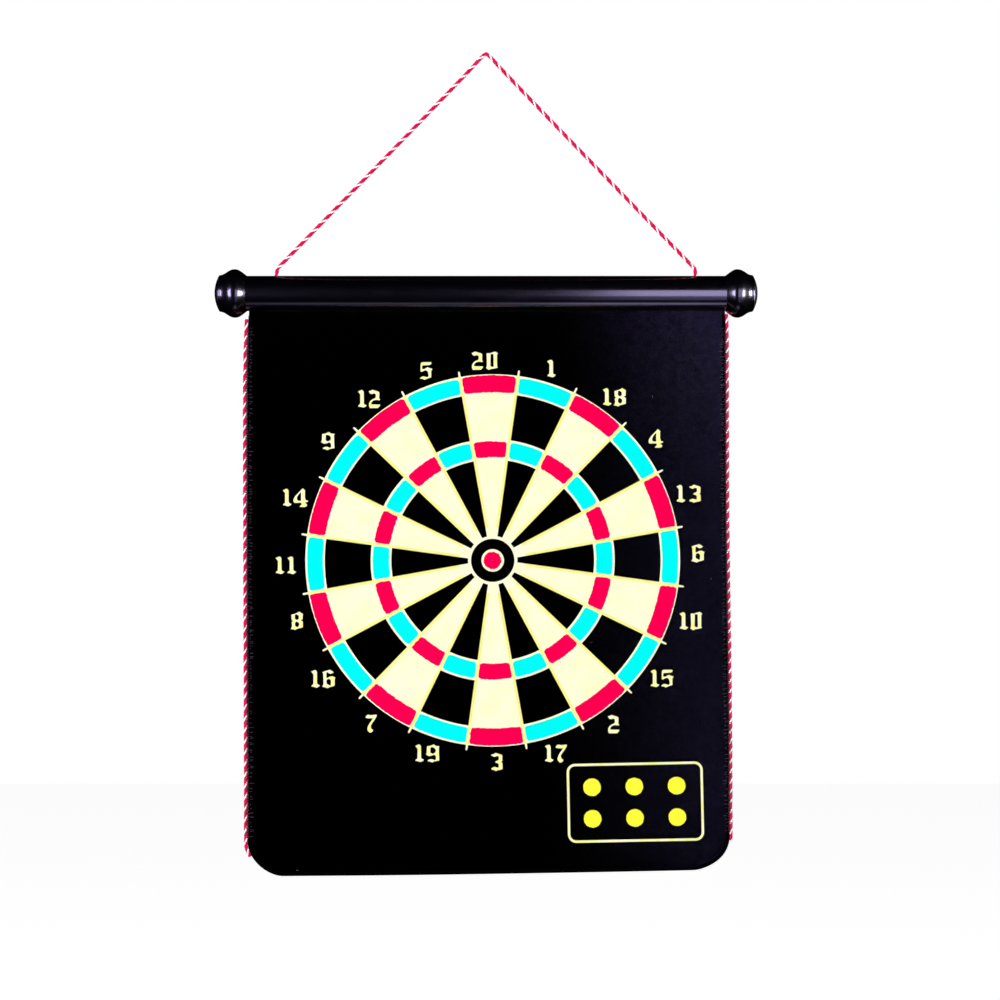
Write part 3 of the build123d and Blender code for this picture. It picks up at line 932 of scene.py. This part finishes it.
# Digits in a broken, broad-pen style: outlines about the digit's middle, from its foot up. Digits
# with a closed counter are two outlines that overlap.
DIGIT_UNIT = 0.785 * MM
DIGIT_HEIGHT = 18
DIGIT_OUTLINES = {
    0: [[(1.3, 18.0), (-1.6, 16.9), (-5.3, 16.9), (-5.2, 14.7), (-4.9, 5.7), (-5.1, 3.9), (-5.9, 2.1),
         (-4.3, 1.0), (-2.5, -0.1), (-0.3, 1.0), (1.3, 1.3), (1.3, 3.8), (0.6, 3.5), (-0.9, 4.4),
         (-0.7, 15.6), (1.3, 15.6)],
        [(-0.1, 17.5), (3.3, 18.6), (5.1, 17.8), (6.7, 16.5), (5.6, 15.1), (5.6, 3.9), (6.5, 2.6),
         (4.7, 1.9), (2.4, 1.4), (-0.1, 1.0), (-0.1, 3.9), (0.6, 3.5), (1.7, 3.9), (1.5, 15.6),
         (-0.1, 15.6)]],
    1: [[(-4.3, 16.5), (-2.4, 17.5), (-0.4, 18.4), (1.0, 18.1), (2.2, 16.4), (2.3, 5.0), (3.0, 4.1),
         (5.3, 3.4), (4.2, 1.9), (1.8, 0.5), (-1.2, 1.3), (-4.1, 1.9), (-3.2, 3.7), (-1.9, 4.4),
         (-1.8, 13.6), (-3.0, 15.2)]],
    2: [[(-5.8, 17.0), (-4.0, 17.6), (-1.6, 18.6), (0.4, 18.0), (4.2, 16.9), (5.4, 15.6), (5.2, 10.0),
         (6.2, 8.6), (5.3, 7.7), (2.0, 8.1), (-0.4, 7.6), (-2.2, 6.2), (-2.7, 4.3), (6.2, 4.1),
         (6.1, 2.6), (3.8, 0.1), (-4.5, 0.1), (-5.4, 3.0), (-5.2, 5.4), (-3.9, 7.6), (-1.6, 9.4),
         (0.8, 10.3), (1.4, 12.0), (1.1, 14.0), (-0.3, 14.5), (-2.1, 13.8), (-4.2, 14.4)]],
    3: [[(-6.0, 16.0), (-5.2, 16.7), (-2.7, 17.3), (-1.4, 18.6), (0.2, 18.2), (5.1, 16.7), (5.9, 15.7),
         (5.8, 10.1), (4.9, 9.5), (6.0, 8.0), (6.2, 2.5), (5.1, 1.8), (0.6, 0.9), (-0.7, 0.0),
         (-2.5, 1.1), (-5.9, 2.0), (-5.0, 3.8), (-2.1, 4.9), (-0.5, 4.3), (1.7, 4.0), (1.7, 7.2),
         (0.6, 8.0), (-1.4, 8.5), (-1.8, 9.2), (-0.5, 10.6), (1.1, 11.0), (1.9, 12.1), (1.7, 14.6),
         (0.2, 14.9), (-2.1, 13.9), (-3.9, 14.6)]],
    4: [[(2.4, 18.9), (-5.2, 11.2), (-7.0, 8.1), (-7.2, 5.8), (-6.1, 4.1), (1.3, 4.2), (1.3, 6.8),
         (-1.2, 6.6), (-2.7, 7.2), (-3.2, 9.0), (-2.3, 11.2), (-0.5, 13.6), (1.3, 15.0)],
        [(2.4, 18.9), (5.1, 16.4), (4.7, 15.3), (4.7, 9.4), (5.6, 7.1), (7.8, 6.7), (7.4, 5.2),
         (5.1, 4.3), (6.9, 2.5), (6.2, 0.6), (4.2, 0.0), (-0.9, 0.1), (-1.1, 1.0), (1.1, 3.1),
         (0.3, 4.3), (0.3, 13.0), (0.3, 16.8)]],
    5: [[(-5.2, 17.5), (-3.4, 18.2), (4.7, 18.2), (5.7, 17.1), (4.9, 15.5), (3.3, 14.8), (-3.4, 14.4),
         (-3.8, 11.7), (-2.1, 11.3), (-0.3, 12.4), (1.7, 13.3), (3.3, 12.4), (6.0, 11.7), (6.5, 10.6),
         (5.3, 9.4), (5.3, 2.7), (2.0, 1.8), (-1.6, 0.2), (-3.6, 1.3), (-5.9, 1.4), (-6.3, 2.2),
         (-4.3, 4.0), (-2.5, 4.4), (1.1, 3.4), (2.2, 4.5), (1.7, 7.6), (0.8, 9.2), (-0.9, 9.7),
         (-4.3, 8.0), (-5.7, 8.5), (-5.7, 15.3)]],
    6: [[(-6.6, 16.0), (-3.4, 17.2), (-0.3, 18.1), (1.5, 18.7), (3.3, 17.8), (5.8, 16.0), (4.2, 14.7),
         (2.0, 14.0), (0.6, 14.5), (-0.5, 15.6), (-1.6, 15.6), (-1.7, 11.1), (-1.2, 8.4), (-1.6, 6.2),
         (-1.2, 4.8), (0.8, 3.7), (1.6, 3.4), (2.0, 1.2), (1.1, 1.0), (-0.7, 0.0), (-3.0, 0.8),
         (-6.8, 1.8), (-5.2, 3.5), (-5.0, 5.7), (-5.4, 14.7)],
        [(-3.2, 11.1), (-0.5, 10.7), (1.1, 11.8), (3.8, 12.4), (5.8, 11.5), (7.3, 10.9), (6.5, 8.9),
         (6.5, 2.8), (5.1, 2.1), (1.1, 1.0), (0.0, 0.4), (0.0, 4.1), (0.8, 3.7), (2.0, 3.2),
         (2.3, 7.5), (1.7, 8.6), (0.2, 9.3), (-1.2, 8.4), (-3.2, 8.3)]],
    7: [[(-5.4, 14.9), (-4.5, 17.2), (-2.5, 18.5), (0.2, 17.8), (6.2, 18.5), (6.2, 16.5), (4.2, 12.9),
         (2.2, 10.2), (0.6, 7.5), (0.7, 5.3), (1.7, 3.9), (2.9, 3.5), (2.4, 1.7), (0.2, -0.1),
         (-1.4, 0.5), (-3.2, 2.6), (-3.4, 4.8), (-2.3, 8.0), (-0.3, 11.1), (2.0, 14.2), (-2.5, 14.2)]],
    8: [[(0.8, 17.5), (0.2, 17.2), (-3.0, 16.0), (-5.3, 15.6), (-5.6, 14.2), (-5.4, 10.0), (-4.2, 8.8),
         (-5.4, 7.7), (-4.8, 4.8), (-5.4, 2.6), (-6.6, 1.0), (-3.0, 0.5), (-1.4, -0.2), (0.2, 1.0),
         (0.8, 1.2), (0.8, 3.5), (-0.3, 3.5), (-1.6, 5.0), (-1.4, 7.1), (-0.5, 8.2), (0.8, 7.6),
         (0.8, 10.7), (0.2, 10.2), (-1.6, 11.5), (-1.6, 14.9), (-0.5, 15.4), (0.8, 14.5)],
        [(-0.7, 16.9), (0.2, 17.2), (2.4, 18.5), (4.0, 17.4), (6.4, 16.1), (6.0, 14.2), (6.0, 10.7),
         (4.4, 9.7), (6.2, 8.6), (6.2, 2.6), (3.8, 1.9), (0.2, 1.0), (-0.7, 0.3), (-0.7, 4.0),
         (-0.3, 3.5), (1.1, 3.5), (2.2, 5.7), (1.5, 7.3), (-0.5, 8.2), (-0.7, 8.0), (-0.7, 10.9),
         (0.2, 10.2), (1.7, 11.5), (1.5, 14.0), (-0.5, 15.4), (-0.7, 15.3)]],
    9: [[(1.1, 18.2), (-0.3, 17.8), (-3.0, 16.7), (-5.5, 16.5), (-5.7, 14.7), (-5.9, 10.2), (-6.8, 8.1),
         (-4.8, 6.8), (-3.4, 6.2), (-0.7, 6.8), (1.1, 7.5), (1.1, 9.5), (0.2, 9.1), (-1.8, 10.2),
         (-1.6, 14.6), (-0.5, 15.1), (1.1, 14.6)],
        [(-0.5, 17.7), (1.5, 18.4), (3.3, 16.9), (7.3, 16.5), (6.5, 14.7), (6.7, 7.5), (6.9, 2.1),
         (4.7, 1.7), (1.5, 1.0), (0.0, -0.1), (-2.5, 1.0), (-4.9, 1.4), (-5.0, 2.6), (-3.0, 3.7),
         (-0.7, 4.0), (2.4, 2.8), (3.3, 4.4), (2.7, 6.8), (1.5, 7.7), (-0.5, 6.9), (-0.5, 9.5),
         (0.2, 9.1), (2.4, 10.2), (3.1, 12.4), (1.5, 14.5), (-0.5, 15.1)]],
}
DIGIT_INSET = 0.27                  # how much lighter than their outlines the digits are printed
DIGIT_GAP = 1.0                     # between a number's digits, in their units
WIDER_GAPS = {11: 2.0, 13: 2.8, 20: 2.2}
NUMBERS = (20, 1, 18, 4, 13, 6, 10, 15, 2, 17, 3, 19, 7, 16, 8, 11, 14, 9, 12, 5)
NUMBER_RING = 155.5 * MM
NUMBER_RING_DROP = 1 * MM           # the ring of numbers is printed this far under the dial's middle
NUMBER_SLIPS = {20: -3, 18: 4, 6: -3, 2: 2, 17: 3, 19: 5, 7: 5, 16: 6, 8: 6, 14: 3, 9: 4}
SLIP_UNIT = 1 * MM                  # slips are clockwise from the middle of a number's sector
SIDE_STAND_OFF = 0.45               # share of its half width that a number at the side stands out


def counterclockwise(outline):
    turn = sum(a[0] * b[1] - b[0] * a[1] for a, b in zip(outline, outline[1:] + outline[:1]))
    return outline if turn > 0 else outline[::-1]


def inset(outline, by):
    """A counterclockwise outline with each of its sides moved in by this much."""
    moved = []
    for before, here, after in zip(outline[-1:] + outline[:-1], outline, outline[1:] + outline[:1]):
        first = (Vector(here) - Vector(before)).normalized()
        second = (Vector(after) - Vector(here)).normalized()
        inward = Vector((-first.y - second.y, first.x + second.x))
        moved.append(tuple(Vector(here) + by * inward / max(0.5, 1 + first.dot(second))))
    return moved


def merged_ink(name, shapes, depth, material):
    """Overlapping flat shapes, each counterclockwise, joined into one thin layer of ink."""
    places, outlines = [], []
    for shape in shapes:
        outlines.append(list(range(len(places), len(places) + len(shape))))
        places += [Vector(p) for p in shape]
    flat, _, areas, _, _, sources = delaunay_2d_cdt(places, [], outlines, 1, 1e-7)
    triangles = [area for area, source in zip(areas, sources) if source]
    count = len(flat)
    vertices = [on_sheet(p.x, p.y, level) for level in (depth, INK_BASE) for p in flat]
    faces, edges = [], {}
    for face in triangles:
        faces.append(tuple(face))
        faces.append(tuple(count + v for v in reversed(face)))
        for a, b in zip(face, list(face[1:]) + [face[0]]):
            edges[(a, b)] = True
    for a, b in edges:
        if (b, a) not in edges:
            faces.append((b, a, count + a, count + b))
    add_ink(name, vertices, faces, material)


def number_place(sector, width):
    """The middle of a sector's number."""
    bearing = sector * SECTOR + NUMBER_SLIPS.get(NUMBERS[sector], 0) * SLIP_UNIT / NUMBER_RING
    radius = NUMBER_RING + SIDE_STAND_OFF * width / 2 * abs(sin(bearing))
    x, z = printed(radius, bearing)
    return x, z - NUMBER_RING_DROP


def add_numbers():
    """The number ring, its digits upright."""
    shapes = []
    for sector, number in enumerate(NUMBERS):
        digits = [int(d) for d in str(number)]
        reach = [[x for outline in DIGIT_OUTLINES[d] for x, _ in outline] for d in digits]
        gap = WIDER_GAPS.get(number, DIGIT_GAP)
        width = (sum(max(xs) - min(xs) for xs in reach) + gap * (len(digits) - 1)) * DIGIT_UNIT
        middle_x, middle_z = number_place(sector, width)
        x0 = middle_x - width / 2
        z0 = middle_z - DIGIT_HEIGHT / 2 * DIGIT_UNIT
        for digit, xs in zip(digits, reach):
            x0 -= min(xs) * DIGIT_UNIT
            for outline in DIGIT_OUTLINES[digit]:
                thinned = inset(counterclockwise(outline), DIGIT_INSET)
                shapes.append([(x0 + x * DIGIT_UNIT, z0 + z * DIGIT_UNIT) for x, z in thinned])
            x0 += (max(xs) + gap) * DIGIT_UNIT
    merged_ink("dial_numbers", shapes, CREAM_DEPTH, INK_NUMBER)


add_numbers()


def add_parking_box():
    """The outlined box with round marks where spare darts stick."""
    centre = (114.7 * MM, -573.7 * MM)
    turn = radians(1.2)
    width, height, radius, line = 104.6 * MM, 60.8 * MM, 6.5 * MM, 1.9 * MM

    def placed(x, z):
        return centre[0] + x * cos(turn) - z * sin(turn), centre[1] + z * cos(turn) + x * sin(turn)

    def outline(inwards):
        """One edge of the box's line: a quarter circle at each corner, and steps between them."""
        arcs = []
        for quarter, (sx, sz) in enumerate(((1, 1), (-1, 1), (-1, -1), (1, -1))):
            angles = [pi / 2 * (quarter + i / 8) for i in range(9)]
            arcs.append([(sx * (width / 2 - radius) + (radius - inwards) * cos(angle),
                          sz * (height / 2 - radius) + (radius - inwards) * sin(angle))
                         for angle in angles])
        points = []
        for arc, following in zip(arcs, arcs[1:] + arcs[:1]):
            (x, z), (to_x, to_z) = arc[-1], following[0]
            points += arc
            points += [(x + (to_x - x) * i / 12, z + (to_z - z) * i / 12) for i in range(1, 12)]
        return [placed(*p) for p in points + points[:1]]

    grid = [outline(0.0), outline(line)]
    cells = [(0, i) for i in range(len(grid[0]) - 1)]
    ink_from_cells("parking_outline", grid, cells, CREAM_DEPTH, INK_NUMBER)
    for row in range(2):
        for column in range(3):
            place = placed((column - 1) * 32.5 * MM - 0.5 * MM, (0.5 - row) * 24.2 * MM)
            add_disc(f"parking_dot_{row}{column}", place, 6.8 * MM, CREAM_DEPTH, INK_YELLOW,
                     0.3 * MM)


add_parking_box()


# ---------------------------------------------------------------- CAD parts that show as they are

def dress(node, material):
    obj = frame["nodes"][node]
    obj.data.materials.clear()
    obj.data.materials.append(material)


for node, material in (
    ("rod_tube", ROD_PLASTIC), ("left_end_cap", CAP_PLASTIC), ("right_end_cap", CAP_PLASTIC),
    ("retaining_bead", BEAD), ("sheet_hem", BACK_FELT), ("left_cord_knot", YARN_RED),
    ("right_cord_knot", YARN_RED),
):
    dress(node, material)


# ---------------------------------------------------------------- stage and light

def add_floor():
    """A plain pale floor, well under the board. It glows, so that it is as white as the surround
    from edge to edge."""
    size, z = 8.0, SHEET_BOTTOM - 0.9
    corners = [(-size, -size, z), (size, -size, z), (size, size, z), (-size, size, z)]
    material, tree, shader = new_material(
        "pale_floor", Roughness=0.9, Specular_IOR_Level=0.0, Emission_Color=(1, 1, 1, 1),
        Emission_Strength=0.95)
    mottle = noise_of(tree, 3, 2)
    colours = ramp_of(tree, mottle.outputs["Fac"], [(0.3, grey(0.86)), (0.7, grey(0.88))])
    tree.links.new(colours.outputs["Color"], shader.inputs["Base Color"])
    floor = new_piece("floor", corners, [(0, 1, 2, 3)], material)
    floor.visible_glossy = False
    floor.visible_diffuse = False


def add_surround():
    """The white that the camera sees behind everything; it lights nothing."""
    rings, around, radius = 12, 24, 8.5
    vertices = []
    for j in range(rings + 1):
        tilt = pi * (j / rings - 0.5)
        for i in range(around):
            angle = 2 * pi * i / around
            vertices.append((radius * cos(tilt) * cos(angle), radius * cos(tilt) * sin(angle),
                             radius * sin(tilt)))
    faces = []
    for j in range(rings):
        for i in range(around):
            a, b = j * around + i, j * around + (i + 1) % around
            faces.append((a, a + around, b + around, b))
    material = bpy.data.materials.new("white_surround")
    material.use_nodes = True
    tree = material.node_tree
    glow = add_node(tree, "ShaderNodeEmission", Strength=1.0, Color=(1, 1, 1, 1))
    tree.links.new(glow.outputs["Emission"], tree.nodes["Material Output"].inputs["Surface"])
    dome = new_piece("surround", vertices, faces, material)
    for ray in ("diffuse", "glossy", "transmission", "shadow", "volume_scatter"):
        setattr(dome, "visible_" + ray, False)


def add_softbox(name, place, target, width, height, radiance, colour=(1, 1, 1), seen_by="diffuse",
                spread=180):
    """An area light. It either lights what is matt or shows in what is shiny, not both."""
    light = bpy.data.lights.new(name, "AREA")
    light.shape = "RECTANGLE"
    light.size, light.size_y = width, height
    light.energy = radiance * pi * width * height
    light.color = colour
    light.spread = radians(spread)
    box = bpy.data.objects.new(name, light)
    box.location = place
    box.rotation_euler = (Vector(target) - Vector(place)).to_track_quat("-Z", "Y").to_euler()
    box.visible_glossy = seen_by == "glossy"
    box.visible_diffuse = seen_by == "diffuse"
    bpy.context.scene.collection.objects.link(box)
    return box


def add_lights():
    """A flat front light that the black nap swallows, strips that rake the nap's right side, and
    the boxes that the black plastic mirrors: on each side at the height of the rod, and two low
    in front."""
    lavender = (0.66, 0.57, 1.0)
    pale = (0.86, 0.80, 1.0)
    violet = (0.52, 0.46, 1.0)
    front = add_softbox("front_box", (-0.5, -2.6, -0.3), (0, 0, -0.40), 2.4, 2.4, 5.1)
    overhead = add_softbox("overhead", (0, 0.6, 2.6), (0, 0.6, 0), 4.0, 4.0, 0.4)
    add_softbox("back_fill", (0, 3.0, -0.2), (0, 0, -0.4), 3.0, 3.0, 2.0)
    for light in (front, overhead):
        others = bpy.data.collections.new(light.name + "_leaves_out")
        others.objects.link(bpy.data.objects["front_felt_skin"])
        others.collection_objects[0].light_linking.link_state = "EXCLUDE"
        light.light_linking.receiver_collection = others
    nap = bpy.data.collections.new("lit_nap")
    nap.objects.link(bpy.data.objects["front_felt_skin"])
    for name, z, height, radiance in (
        ("nap_strip", -0.42, 0.50, 6.5), ("nap_top_strip", -0.14, 0.10, 30),
    ):
        strip = add_softbox(name, (0.25, -1.2, z), (0.25, 0, z), 0.05, height, radiance, violet,
                            spread=18)
        strip.light_linking.receiver_collection = nap
    for name, place, target, width, height, radiance, colour in (
        ("right_box", (0.42, -0.6, -0.22), (0.42, 0, -0.22), 0.60, 0.40, 5.6, lavender),
        ("right_skirt", (0.42, -0.6, -0.62), (0.42, 0, -0.62), 0.60, 0.40, 1.1, violet),
        ("right_window", (1.06, -0.6, -0.21), (1.06, 0, -0.21), 0.66, 0.40, 60, pale),
        ("left_box", (-0.74, -0.6, -0.20), (-0.74, 0, -0.20), 0.52, 0.40, 32, lavender),
        ("low_box", (0, -0.25, -1.15), (0, 0, -0.19), 0.62, 0.26, 0.6, lavender),
        ("low_right_box", (0.2, -0.25, -1.16), (0.2, 0, -0.19), 0.26, 0.26, 1.6, lavender),
        ("right_side_box", (1.5, 0.5, -0.2), (0, 0, -0.2), 0.6, 0.44, 25, pale),
        ("left_side_box", (-1.5, 0.5, -0.2), (0, 0, -0.2), 0.6, 0.44, 3, lavender),
    ):
        add_softbox(name, place, target, width, height, radiance, colour, "glossy")


def set_world():
    world = bpy.data.worlds.new("studio")
    bpy.context.scene.world = world
    world.use_nodes = True
    back = world.node_tree.nodes["Background"]
    back.inputs["Color"].default_value = (1, 1, 1, 1)
    back.inputs["Strength"].default_value = 0.0
    bpy.context.scene.view_settings.view_transform = "Standard"


add_floor()
add_surround()
add_lights()
set_world()
